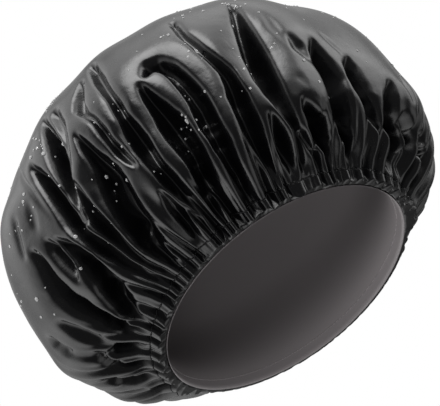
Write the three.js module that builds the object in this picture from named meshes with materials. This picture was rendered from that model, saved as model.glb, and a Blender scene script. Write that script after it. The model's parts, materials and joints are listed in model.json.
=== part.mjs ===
// A gathered shower cap, standing on its hem: a round of coated satin and a film lining, both drawn in to a hem
// whose casing and facing hold a lapped elastic, with the hem's two sewing threads. Millimetres, +Z up through the
// crown, origin at the centre of the head opening, in the plane of the hem's lower edge.
import * as THREE from "three";

// Driving dimensions
const CAP_DIAMETER = 296; // widest, over the fold ridges
const CAP_HEIGHT = 196; // hem's lower edge to the top of the crown
const WIDEST_HEIGHT = 85; // height of the widest girth above the hem's lower edge
const CROWN_SQUARENESS = 2.25; // above the widest girth: 2 is an ellipse, and more is fuller
const FLANK_SQUARENESS = 3.3; // the same below it, where the cloth hangs full over the hem
const OPENING_DIAMETER = 184; // clear head opening with the elastic drawn in
const SHELL_THICKNESS = 0.5; // coated satin
const LINING_THICKNESS = 0.4; // waterproof film
const CASING_THICKNESS = 0.5; // the satin strip outside the hem, turned in under it
const FACING_THICKNESS = 0.4; // the film strip inside the hem
const HEM_HEIGHT = 11; // hem's lower edge to the upper edges of both strips
const ELASTIC_WIDTH = 6;
const ELASTIC_THICKNESS = 0.7;
const ELASTIC_LAP = 18; // length where the elastic's two ends lie over each other
const LAP_ANGLE = Math.PI / 2; // where the lap begins, at the back of the cap
const THREAD_DIAMETER = 0.5;
const CLEARANCE = 0.3; // between neighbouring layers

// Gathers
const FOLD_COUNT = 36; // main folds round the cap
const FOLD_DEPTH = 10; // ridge to valley at the widest girth
const HEM_FOLD_DEPTH = 4; // ridge to valley at the hem
const FOLD_START = 61; // latitude, in degrees, where the folds begin below the smooth crown
const FOLD_SWAY = [
  { turns: 3, phase: 0.6, reach: 0.05 }, // reach in radians: how far folds crowd together round the cap
  { turns: 7, phase: 2.1, reach: 0.025 },
];

// Elastic splice
const ZIGZAG_COUNT = 5; // zigzags of thread across the lap
const ZIGZAG_MARGIN = 1; // from the zigzag to the elastic's edges

// Facets
const POINTS_PER_FOLD = 2;
const THREAD_SIDES = 5;
const CROWN_LATITUDE = 77; // the smooth crown's one ring above the folds
const CROWN_LATITUDES = [CROWN_LATITUDE, FOLD_START, 42, 20, 0]; // rings down to the widest girth
const FLANK_SHARES = [0.35, 0.7]; // places of the rings between the widest girth and the hem

const DEGREE = Math.PI / 180;
const FULL_TURN = 2 * Math.PI;
const POINT_COUNT = FOLD_COUNT * POINTS_PER_FOLD;

// The hem's layers, from the opening outwards, as radii at the bottom of a fold
const openingRadius = OPENING_DIAMETER / 2;
const facingOuter = openingRadius + FACING_THICKNESS;
const turnedEdge = facingOuter + CLEARANCE;
const elasticInner = facingOuter + CLEARANCE;
const elasticOuter = elasticInner + ELASTIC_THICKNESS;
const lapInner = elasticOuter + CLEARANCE;
const lapOuter = lapInner + ELASTIC_THICKNESS;
const spliceRadius = lapOuter + CLEARANCE + THREAD_DIAMETER / 2;
const casingInner = spliceRadius + THREAD_DIAMETER / 2 + CLEARANCE;
const casingOuter = casingInner + CASING_THICKNESS;
const shellEdgeOuter = casingInner - CLEARANCE;
const liningEdgeOuter = shellEdgeOuter - SHELL_THICKNESS - CLEARANCE;

// The hem's heights
const elasticBottom = CASING_THICKNESS + CLEARANCE;
const elasticTop = elasticBottom + ELASTIC_WIDTH;
const clothEdge = elasticTop + CLEARANCE;
const hemTop = HEM_HEIGHT + CLEARANCE;
const stitchHeight = (clothEdge + HEM_HEIGHT) / 2;

// The cap's outline: a rounded square over the widest girth, and part of another from there in to the hem
const girthRadius = CAP_DIAMETER / 2;
const crownRise = CAP_HEIGHT - WIDEST_HEIGHT;
const hemRidgeRadius = shellEdgeOuter + HEM_FOLD_DEPTH;
const hemLatitude = -Math.acos((hemRidgeRadius / girthRadius) ** (FLANK_SQUARENESS / 2)) / DEGREE;
const flankFall = (WIDEST_HEIGHT - hemTop) / Math.sin(-hemLatitude * DEGREE) ** (2 / FLANK_SQUARENESS);
const clothLatitudes = [...CROWN_LATITUDES, ...FLANK_SHARES.map((share) => hemLatitude * share)];

// Collects rings of points and the triangles between them, with faces turned outwards.
class Skin {
  constructor() {
    this.positions = [];
    this.triangles = [];
  }

  point(vector) {
    this.positions.push(vector.x, vector.y, vector.z);
    return this.positions.length / 3 - 1;
  }

  ring(vectors) {
    return vectors.map((vector) => this.point(vector));
  }

  // Joins two closed rings, seen with the second below the first. The second has as many points or twice as many.
  join(upper, lower) {
    const ratio = lower.length / upper.length;
    upper.forEach((corner, index) => {
      const next = upper[(index + 1) % upper.length];
      const [first, second, third] = [0, 1, 2].map((step) => lower[(index * ratio + step) % lower.length]);
      this.triangles.push(corner, first, second, corner, second, next);
      if (ratio === 2) this.triangles.push(next, second, third);
    });
  }

  // Closes a ring to a point above it.
  fan(tip, ring) {
    ring.forEach((corner, index) => this.triangles.push(tip, corner, ring[(index + 1) % ring.length]));
  }

  // Closes a ring from the other side.
  fanBelow(tip, ring) {
    this.fan(tip, [...ring].reverse());
  }

  geometry() {
    const made = new THREE.BufferGeometry();
    made.setAttribute("position", new THREE.Float32BufferAttribute(this.positions, 3));
    made.setIndex(this.triangles);
    made.computeVertexNormals();
    return made;
  }
}

// A point of the girth: its angle, crowded by the sway, and how deep it lies in its fold, from 0 on a ridge to 1.
function girthPoint(index) {
  const base = (FULL_TURN * index) / POINT_COUNT;
  const sway = FOLD_SWAY.reduce((sum, wave) => sum + wave.reach * Math.sin(wave.turns * base + wave.phase), 0);
  return { angle: base + sway, dip: (1 - Math.cos(FOLD_COUNT * base)) / 2 };
}

function girthPoints(count) {
  const step = POINT_COUNT / count;
  return [...Array(count).keys()].map((index) => girthPoint(index * step));
}

function polar(radius, angle, height) {
  return new THREE.Vector3(radius * Math.cos(angle), radius * Math.sin(angle), height);
}

// The outline at a latitude in degrees: 90 at the crown, 0 at the widest girth, hemLatitude at the hem's top.
function outline(latitude) {
  const turn = Math.abs(latitude) * DEGREE;
  const [rise, squareness] = latitude >= 0 ? [crownRise, CROWN_SQUARENESS] : [-flankFall, FLANK_SQUARENESS];
  const across = Math.cos(turn) ** (2 / squareness);
  const along = Math.sin(turn) ** (2 / squareness);
  const outward = new THREE.Vector2(
    across ** (squareness - 1) / girthRadius,
    along ** (squareness - 1) / rise,
  ).normalize();
  return { radius: girthRadius * across, height: WIDEST_HEIGHT + rise * along, outward };
}

// How deep the folds are at a latitude.
function foldDepth(latitude) {
  if (latitude >= FOLD_START) return 0;
  if (latitude >= 0) return FOLD_DEPTH * Math.cos((latitude / FOLD_START) * (Math.PI / 2));
  return THREE.MathUtils.lerp(FOLD_DEPTH, HEM_FOLD_DEPTH, latitude / hemLatitude);
}

// One ring of cloth, set in from the outline along its normal by a fixed depth and by a share of the fold.
function clothRing(latitude, count, inset, foldShare) {
  const { radius, height, outward } = outline(latitude);
  return girthPoints(count).map(({ angle, dip }) => {
    const depth = inset + foldShare(dip) * foldDepth(latitude);
    return polar(radius - depth * outward.x, angle, height - depth * outward.y);
  });
}

// One ring of cloth in the hem, where it stands upright between the casing and the facing.
function hemRing(valleyRadius, height, count, ridge) {
  return girthPoints(count).map(({ angle, dip }) => polar(valleyRadius + ridge * (1 - dip), angle, height));
}

// A closed sheet: its outer face from the crown to the cloth edge in the hem, then its inner face back again.
function sheetGeometry({ crownInset, flankInset, thickness, counts, foldShare, hemRadius, hemRidge }) {
  const skin = new Skin();
  const hemCount = counts[counts.length - 1];
  const face = (depth) => {
    const tip = skin.point(new THREE.Vector3(0, 0, CAP_HEIGHT - crownInset - depth));
    const rings = clothLatitudes.map((latitude, index) =>
      skin.ring(clothRing(latitude, counts[index], flankInset(latitude) + depth, foldShare)),
    );
    rings.push(skin.ring(hemRing(hemRadius - depth, hemTop, hemCount, hemRidge)));
    rings.push(skin.ring(hemRing(hemRadius - depth, clothEdge, hemCount, hemRidge)));
    return { tip, rings };
  };
  const outer = face(0);
  const inner = face(thickness);
  skin.fan(outer.tip, outer.rings[0]);
  outer.rings.slice(1).forEach((ring, index) => skin.join(outer.rings[index], ring));
  skin.join(outer.rings.at(-1), inner.rings.at(-1));
  const insideStart = skin.triangles.length;
  inner.rings.slice(1).forEach((ring, index) => skin.join(inner.rings[index], ring));
  skin.fan(inner.tip, inner.rings[0]);
  for (let index = insideStart; index < skin.triangles.length; index += 3) {
    [skin.triangles[index], skin.triangles[index + 1]] = [skin.triangles[index + 1], skin.triangles[index]];
  }
  return skin.geometry();
}

// A ring-shaped solid from a closed section, whose corners are functions from a girth point to [radius, height].
function hoopGeometry(section) {
  const skin = new Skin();
  const rings = section.map((corner) =>
    skin.ring(girthPoints(POINT_COUNT).map((place) => polar(corner(place)[0], place.angle, corner(place)[1]))),
  );
  rings.forEach((ring, index) => skin.join(ring, rings[(index + 1) % rings.length]));
  return skin.geometry();
}

// A thread with a round section along points, closed on itself or with two flat ends.
function threadGeometry(points, closed) {
  const skin = new Skin();
  const count = points.length;
  const at = (index) => points[closed ? (index + count) % count : Math.min(Math.max(index, 0), count - 1)];
  const rings = points.map((centre, index) => {
    const along = at(index + 1).clone().sub(at(index - 1)).normalize();
    const side = new THREE.Vector3(centre.x, centre.y, 0).normalize();
    side.addScaledVector(along, -side.dot(along)).normalize();
    const up = new THREE.Vector3().crossVectors(along, side);
    return skin.ring(
      [...Array(THREAD_SIDES).keys()].map((corner) => {
        const turn = (FULL_TURN * corner) / THREAD_SIDES;
        return centre
          .clone()
          .addScaledVector(side, (Math.cos(turn) * THREAD_DIAMETER) / 2)
          .addScaledVector(up, (Math.sin(turn) * THREAD_DIAMETER) / 2);
      }),
    );
  });
  rings.slice(closed ? 0 : 1).forEach((ring, index) => {
    if (closed) skin.join(rings[(index + 1) % count], ring);
    else skin.join(ring, rings[index]);
  });
  if (!closed) {
    skin.fanBelow(skin.point(points[0]), rings[0]);
    skin.fan(skin.point(points[count - 1]), rings[count - 1]);
  }
  return skin.geometry();
}

// Coated satin: smooth at the crown, then folds that deepen to the widest girth and tighten into the hem.
function outerShell() {
  return sheetGeometry({
    crownInset: 0,
    flankInset: () => 0,
    thickness: SHELL_THICKNESS,
    counts: clothLatitudes.map((latitude) => (latitude >= FOLD_START ? FOLD_COUNT : POINT_COUNT)),
    foldShare: (dip) => dip,
    hemRadius: shellEdgeOuter,
    hemRidge: HEM_FOLD_DEPTH,
  });
}

// Film lining: a smooth dome that lies against the bottoms of the shell's folds.
function innerLining() {
  const inset = SHELL_THICKNESS + CLEARANCE;
  return sheetGeometry({
    crownInset: inset,
    flankInset: (latitude) => inset + foldDepth(latitude),
    thickness: LINING_THICKNESS,
    counts: clothLatitudes.map(() => FOLD_COUNT),
    foldShare: () => 0,
    hemRadius: liningEdgeOuter,
    hemRidge: 0,
  });
}

// Corners of the hem's sections, at a radius and a height: gathered outwards by the folds, or plain.
const gathered = (radius, height) => ({ dip }) => [radius + HEM_FOLD_DEPTH * (1 - dip), height];
const plain = (radius, height) => () => [radius, height];

// The satin strip that covers the hem outside, gathered, and turns in under the elastic to the facing.
function hemCasing() {
  return hoopGeometry([
    gathered(casingOuter, HEM_HEIGHT),
    gathered(casingOuter, 0),
    plain(turnedEdge, 0),
    plain(turnedEdge, CASING_THICKNESS),
    gathered(casingInner, CASING_THICKNESS),
    gathered(casingInner, HEM_HEIGHT),
  ]);
}

// The film strip that closes the elastic's tunnel on the inside.
function hemFacing() {
  return hoopGeometry([
    plain(facingOuter, HEM_HEIGHT),
    plain(facingOuter, 0),
    plain(openingRadius, 0),
    plain(openingRadius, HEM_HEIGHT),
  ]);
}

// The turn that the elastic's lap covers, and all the way that the elastic runs.
const lapAngle = ELASTIC_LAP / lapInner;
const elasticEnd = FULL_TURN + lapAngle;

// One flat strip that runs once round the hem, climbs, and goes on over its own beginning.
function elasticBand() {
  const skin = new Skin();
  const steps = POINT_COUNT;
  const rings = [...Array(steps + 1).keys()].map((step) => {
    const travelled = (elasticEnd * step) / steps;
    const climb = THREE.MathUtils.smoothstep(travelled, FULL_TURN - lapAngle, FULL_TURN - lapAngle / 4);
    const radius = THREE.MathUtils.lerp(elasticInner, lapInner, climb);
    const angle = LAP_ANGLE + travelled;
    return skin.ring([
      polar(radius + ELASTIC_THICKNESS, angle, elasticTop),
      polar(radius + ELASTIC_THICKNESS, angle, elasticBottom),
      polar(radius, angle, elasticBottom),
      polar(radius, angle, elasticTop),
    ]);
  });
  rings.slice(1).forEach((ring, index) => skin.join(ring, rings[index]));
  const close = ([a, b, c, d]) => skin.triangles.push(a, b, c, a, c, d);
  close([...rings[0]].reverse());
  close(rings[steps]);
  return skin.geometry();
}

// The zigzag of thread that holds the elastic's two ends together.
function spliceStitch() {
  const corners = ZIGZAG_COUNT * 2;
  const low = elasticBottom + ZIGZAG_MARGIN;
  const high = elasticTop - ZIGZAG_MARGIN;
  const points = [...Array(corners + 1).keys()].map((corner) => {
    const angle = LAP_ANGLE + lapAngle * ((corner + 1) / (corners + 2));
    return polar(spliceRadius, angle, corner % 2 ? high : low);
  });
  return threadGeometry(points, false);
}

// The stitch line's outer thread, lying along the gathers.
function needleThread() {
  const radius = casingOuter + CLEARANCE + THREAD_DIAMETER / 2;
  return threadGeometry(hemRing(radius, stitchHeight, POINT_COUNT, HEM_FOLD_DEPTH), true);
}

// The stitch line's inner thread, lying round the inside of the opening.
function bobbinThread() {
  const radius = openingRadius - CLEARANCE - THREAD_DIAMETER / 2;
  return threadGeometry(hemRing(radius, stitchHeight, POINT_COUNT, 0), true);
}

const satin = new THREE.MeshStandardMaterial({ color: "#0b0b0c", roughness: 0.35, metalness: 0 });
const film = new THREE.MeshStandardMaterial({ color: "#3c3a3b", roughness: 0.5, metalness: 0 });
const elastic = new THREE.MeshStandardMaterial({ color: "#161617", roughness: 0.8, metalness: 0 });
const thread = new THREE.MeshStandardMaterial({ color: "#0e0e0f", roughness: 0.6, metalness: 0 });

function piece(name, geometry, material) {
  const mesh = new THREE.Mesh(geometry, material);
  mesh.name = name;
  return mesh;
}

const crown = new THREE.Group();
crown.add(piece("outer_shell", outerShell(), satin));
crown.add(piece("inner_lining", innerLining(), film));

const hem = new THREE.Group();
hem.add(piece("hem_casing", hemCasing(), satin));
hem.add(piece("hem_facing", hemFacing(), film));
hem.add(piece("elastic_band", elasticBand(), elastic));
hem.add(piece("elastic_splice_stitch", spliceStitch(), thread));
hem.add(piece("hem_needle_thread", needleThread(), thread));
hem.add(piece("hem_bobbin_thread", bobbinThread(), thread));

const cap = new THREE.Group();
cap.add(crown, hem);

export default cap;
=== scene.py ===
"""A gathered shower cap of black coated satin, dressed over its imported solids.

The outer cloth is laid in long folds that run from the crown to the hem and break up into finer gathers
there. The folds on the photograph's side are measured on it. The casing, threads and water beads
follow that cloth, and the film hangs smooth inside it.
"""

import json
import logging
import math
from dataclasses import dataclass
from enum import Enum
from typing import Any

import bpy
import numpy as np
from mathutils import Matrix, Vector


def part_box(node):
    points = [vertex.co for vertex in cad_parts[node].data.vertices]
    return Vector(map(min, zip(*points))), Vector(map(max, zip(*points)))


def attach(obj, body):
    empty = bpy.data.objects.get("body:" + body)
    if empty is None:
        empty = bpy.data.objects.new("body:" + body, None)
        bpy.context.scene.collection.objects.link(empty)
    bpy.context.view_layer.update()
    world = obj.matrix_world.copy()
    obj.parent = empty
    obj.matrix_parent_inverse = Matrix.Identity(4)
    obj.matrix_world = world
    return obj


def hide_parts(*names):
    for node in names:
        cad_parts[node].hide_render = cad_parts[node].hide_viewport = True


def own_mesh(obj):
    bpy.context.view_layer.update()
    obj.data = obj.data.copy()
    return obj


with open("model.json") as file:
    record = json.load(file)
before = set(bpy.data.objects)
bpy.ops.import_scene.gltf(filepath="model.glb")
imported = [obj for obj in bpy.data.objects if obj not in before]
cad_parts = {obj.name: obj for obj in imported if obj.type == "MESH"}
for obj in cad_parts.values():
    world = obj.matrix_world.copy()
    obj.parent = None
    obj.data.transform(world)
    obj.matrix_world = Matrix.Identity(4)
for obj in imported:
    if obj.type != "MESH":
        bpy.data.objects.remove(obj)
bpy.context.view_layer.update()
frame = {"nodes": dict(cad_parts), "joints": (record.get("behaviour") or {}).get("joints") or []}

LOG = logging.getLogger("shower_cap")
MM = 0.001
FULL_TURN = 2 * math.pi
IMAGE_SIZE = (440, 406)
FOLD_SEED = 11
THREAD_BLACK = "#0e0e0f"
# Where the cap's front, which the photograph shows, turns into its back, as sines of the angle round it.
FRONT_TO_BACK = (-0.35, 0.25)
# How far apart a wave node of scale 1 draws diagonal bands, in metres.
DIAGONAL_BANDS = FULL_TURN / (10 * math.sqrt(2))
Array = np.ndarray
Piece = bpy.types.Object
Tree = bpy.types.NodeTree
Node = bpy.types.Node
Socket = bpy.types.NodeSocket


class Side(Enum):
    """A side of the cloth, as the sign of a step along its outward normal."""

    OUTSIDE = 1.0
    INSIDE = -1.0


def smooth_step(low: float, high: float, value: Array | float) -> Array | float:
    """A smooth ramp from 0 at low to 1 at high.

    Args:
        low: Where the ramp begins.
        high: Where the ramp ends.
        value: One number or an array of them.

    Returns:
        The ramp's height at each value.
    """
    share = np.clip((value - low) / (high - low), 0.0, 1.0)
    return share * share * (3.0 - 2.0 * share)


def angles_round(count: int) -> Array:
    """Even angles round a ring."""
    return np.arange(count) * FULL_TURN / count


def rings(radius: Array, height: Array, angle: Array) -> Array:
    """Points on rings round the cap.

    Args:
        radius: Radii, by row or by row and column.
        height: Heights, likewise.
        angle: The columns' angles.

    Returns:
        Points as rows, columns and coordinates.
    """
    across = radius * np.cos(angle)
    return np.stack([across, radius * np.sin(angle), np.broadcast_to(height, across.shape)], axis=2)


def unit_rows(vectors: Array) -> Array:
    """The same vectors, along the last axis, with length 1."""
    return vectors / np.linalg.norm(vectors, axis=-1, keepdims=True)


# Sizes of the cap


@dataclass(frozen=True)
class CapSizes:
    """Real sizes of the cap in metres.

    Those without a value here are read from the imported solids.
    """

    girth_radius: float
    height: float
    opening_radius: float
    widest_height: float = 85 * MM
    stitch_height: float = 8.0 * MM
    stitch_radius: float = 98.0 * MM
    edge_radius: float = 95.6 * MM
    edge_height: float = 0.6 * MM
    fold_room: float = 26 * MM
    casing_radius: float = 96.2 * MM
    hem_rounding: float = 4 * MM
    crown_squareness: float = 2.25
    flank_squareness: float = 3.3

    FACING_FILM = 0.4 * MM

    @classmethod
    def from_frame(cls) -> "CapSizes":
        """Reads the girth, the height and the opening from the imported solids.

        Returns:
            The sizes of this cap.
        """
        shell_low, shell_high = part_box("outer_shell")
        facing_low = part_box("hem_facing")[0]
        return cls(
            girth_radius=(shell_high.x - shell_low.x) / 2,
            height=shell_high.z,
            opening_radius=-facing_low.x - cls.FACING_FILM,
        )


class Meridian:
    """The cap's outline from the crown down to the hem's edge, by distance along the cloth."""

    SPACING = 0.5 * MM
    CORNERS = 300
    # Shares of the line between which its rounding sets in, and how many reaches to each side it takes in.
    ROUNDED_FROM = (0.8, 0.9)
    ROUNDED_OVER = 3

    def __init__(self, sizes: CapSizes) -> None:
        """Draws the outline.

        Args:
            sizes: The cap's sizes.
        """
        line = self._evenly(self._corners(sizes))
        self.line = self._rounded(line, sizes.hem_rounding)
        slope = unit_rows(np.gradient(self.line, axis=0))
        self.normal = np.stack([-slope[:, 1], slope[:, 0]], axis=1)
        self.distance = self._travelled(self.line)
        self.length = float(self.distance[-1])
        below = self.line[:, 1] < sizes.stitch_height
        self.stitch_share = float(self.distance[np.argmax(below)] / self.length)

    @staticmethod
    def _arc(sizes: CapSizes, turn: Array, rise: float, squareness: float) -> Array:
        """Part of a rounded square on the widest girth.

        Args:
            sizes: The cap's sizes.
            turn: Turns from the girth, in radians.
            rise: How far the whole quarter goes above the girth.
            squareness: Its fullness, where 2 is an ellipse and more is fuller.

        Returns:
            Points as rows of (radius, height).
        """
        bend = 2 / squareness
        radius = sizes.girth_radius * np.cos(turn) ** bend
        return np.stack([radius, sizes.widest_height + rise * np.sin(turn) ** bend], axis=1)

    @classmethod
    def _corners(cls, sizes: CapSizes) -> Array:
        """The crown's and the flank's rounded squares, and the upright hem below them.

        Args:
            sizes: The cap's sizes.

        Returns:
            Points as rows of (radius, height), from the crown down.
        """
        turn = np.linspace(math.pi / 2, 0.0, cls.CORNERS)
        upper = cls._arc(sizes, turn, sizes.height - sizes.widest_height, sizes.crown_squareness)
        flank = sizes.flank_squareness
        last = math.acos((sizes.stitch_radius / sizes.girth_radius) ** (flank / 2))
        fall = (sizes.widest_height - sizes.stitch_height) / math.sin(last) ** (2 / flank)
        lower = cls._arc(sizes, np.linspace(0.0, last, cls.CORNERS)[1:], -fall, flank)
        return np.concatenate([upper, lower, [[sizes.edge_radius, sizes.edge_height]]])

    @staticmethod
    def _travelled(line: Array) -> Array:
        """The distance along a line to each of its points."""
        steps = np.linalg.norm(np.diff(line, axis=0), axis=1)
        return np.concatenate([[0.0], np.cumsum(steps)])

    @staticmethod
    def _between(place: Array, known: Array, table: Array) -> Array:
        """Both columns of a table, at places between the known ones of its rows."""
        return np.stack([np.interp(place, known, table[:, k]) for k in (0, 1)], axis=1)

    @classmethod
    def _evenly(cls, line: Array) -> Array:
        """The same line with evenly spaced points.

        Args:
            line: The line's points.

        Returns:
            The evenly spaced points.
        """
        travelled = cls._travelled(line)
        along = np.linspace(0.0, travelled[-1], int(travelled[-1] / cls.SPACING))
        return cls._between(along, travelled, line)

    @classmethod
    def _rounded(cls, line: Array, reach: float) -> Array:
        """The line with its corner at the hem rounded.

        Args:
            line: The line's evenly spaced points.
            reach: How far along the line the rounding reaches.

        Returns:
            As many points, on the rounded line.
        """
        half = int(cls.ROUNDED_OVER * reach / cls.SPACING)
        weight = np.exp(-0.5 * (np.arange(-half, half + 1) * cls.SPACING / reach) ** 2)
        weight /= weight.sum()
        smooth = np.empty_like(line)
        for k in (0, 1):
            before = 2 * line[0, k] - line[half:0:-1, k]
            after = 2 * line[-1, k] - line[-2 : -half - 2 : -1, k]
            smooth[:, k] = np.convolve(np.concatenate([before, line[:, k], after]), weight, "valid")
        near_hem = smooth_step(*cls.ROUNDED_FROM, np.linspace(0.0, 1.0, len(line)))[:, None]
        return line * (1.0 - near_hem) + smooth * near_hem

    def at(self, share: Array, inset: Array | float = 0.0) -> tuple[Array, Array]:
        """Points and outward normals at shares of the way from crown to edge.

        Args:
            share: Shares from 0 to 1.
            inset: How far inside the outline each point lies.

        Returns:
            Points and normals, each as rows of (radius, height).
        """
        along = share * self.length
        point = self._between(along, self.distance, self.line)
        normal = unit_rows(self._between(along, self.distance, self.normal))
        return point - np.broadcast_to(inset, share.shape)[:, None] * normal, normal

    def meet(self, start: Vector, way: Vector) -> tuple[float, float] | None:
        """Where a straight line first enters the cap.

        Args:
            start: Where the line starts.
            way: Its direction.

        Returns:
            The angle round the cap and the share of the way from crown to edge, or nothing if it misses.
        """
        # The line is followed until it is well past the cap.
        far = np.arange(0.0, 2.0 * start.length, self.SPACING)
        place = np.array(start)[None, :] + far[:, None] * np.array(way)[None, :]
        upward = self.line[::-1]
        wall = np.interp(place[:, 2], upward[:, 1], upward[:, 0], left=0.0, right=0.0)
        inside = np.hypot(place[:, 0], place[:, 1]) < wall
        if not inside.any():
            return None
        first = place[np.argmax(inside)]
        share = np.interp(first[2], upward[:, 1], self.distance[::-1]) / self.length
        return math.atan2(first[1], first[0]), float(share)


# Folds


@dataclass(frozen=True)
class FoldBand:
    """A family of folds: how many go round the cap, and where between crown and hem they live."""

    fewest: int
    most: int
    depth: float
    begins: tuple[float, float]
    fades: tuple[float, float]
    drift: float
    pinched: bool = False

    def envelope(self, share: Array) -> Array:
        """How strong the family is at shares of the way from crown to hem."""
        return smooth_step(*self.begins, share) * (1.0 - smooth_step(*self.fades, share))


@dataclass(frozen=True)
class Hollow:
    """A hollow between two folds, measured on the photograph.

    Its points go from the crown to the hem, each with the hollow's half width there, in pixels.
    """

    points: tuple[tuple[float, float, float], ...]
    depth: float = 1.0


@dataclass(frozen=True)
class LaidHollow:
    """A hollow on the cap: shares of the way to the edge, angles, and half widths in metres."""

    shares: Array
    angles: Array
    widths: Array
    depth: float

    # Depth for a half width of 1, the deepest that any gets, and the walls' and rounded shoulders' forms.
    STEEPNESS = 3.2
    DEEPEST = 24 * MM
    WALL_REACH = 0.84
    WALL_SHARPNESS = 3.4
    SHOULDER = 0.2
    SHOULDER_REACH = 2.3

    def carve(self, angle: Array, share: Array, radius: Array, length: float) -> Array:
        """How deep the hollow is at each place.

        Args:
            angle: Angles round the cap.
            share: Shares of the way to the edge.
            radius: The cap's radius at each share.
            length: The cloth's length from crown to edge.

        Returns:
            Depths in metres, by share and angle.
        """
        turn = np.angle(np.exp(1j * (angle - self.angles.mean())))
        across = turn[None, :] * radius[:, None]
        along = (share * length)[:, None]
        corner_across = (self.angles - self.angles.mean()) * np.interp(self.shares, share, radius)
        corners = np.stack([corner_across, self.shares * length], axis=1)
        depth = np.zeros(across.shape)
        for k, run in enumerate(np.diff(corners, axis=0)):
            aside, ahead = across - corners[k, 0], along - corners[k, 1]
            part = np.clip((aside * run[0] + ahead * run[1]) / (run @ run), 0.0, 1.0)
            width = self.widths[k] + (self.widths[k + 1] - self.widths[k]) * part
            away = np.hypot(aside - part * run[0], ahead - part * run[1]) / width
            deep = np.minimum(self.STEEPNESS * width, self.DEEPEST)
            wall = np.exp(-((away / self.WALL_REACH) ** self.WALL_SHARPNESS))
            shoulder = np.exp(-((away / self.SHOULDER_REACH) ** 2.0))
            depth = np.maximum(depth, deep * (wall + self.SHOULDER * (shoulder - wall)))
        return self.depth * depth


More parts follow.
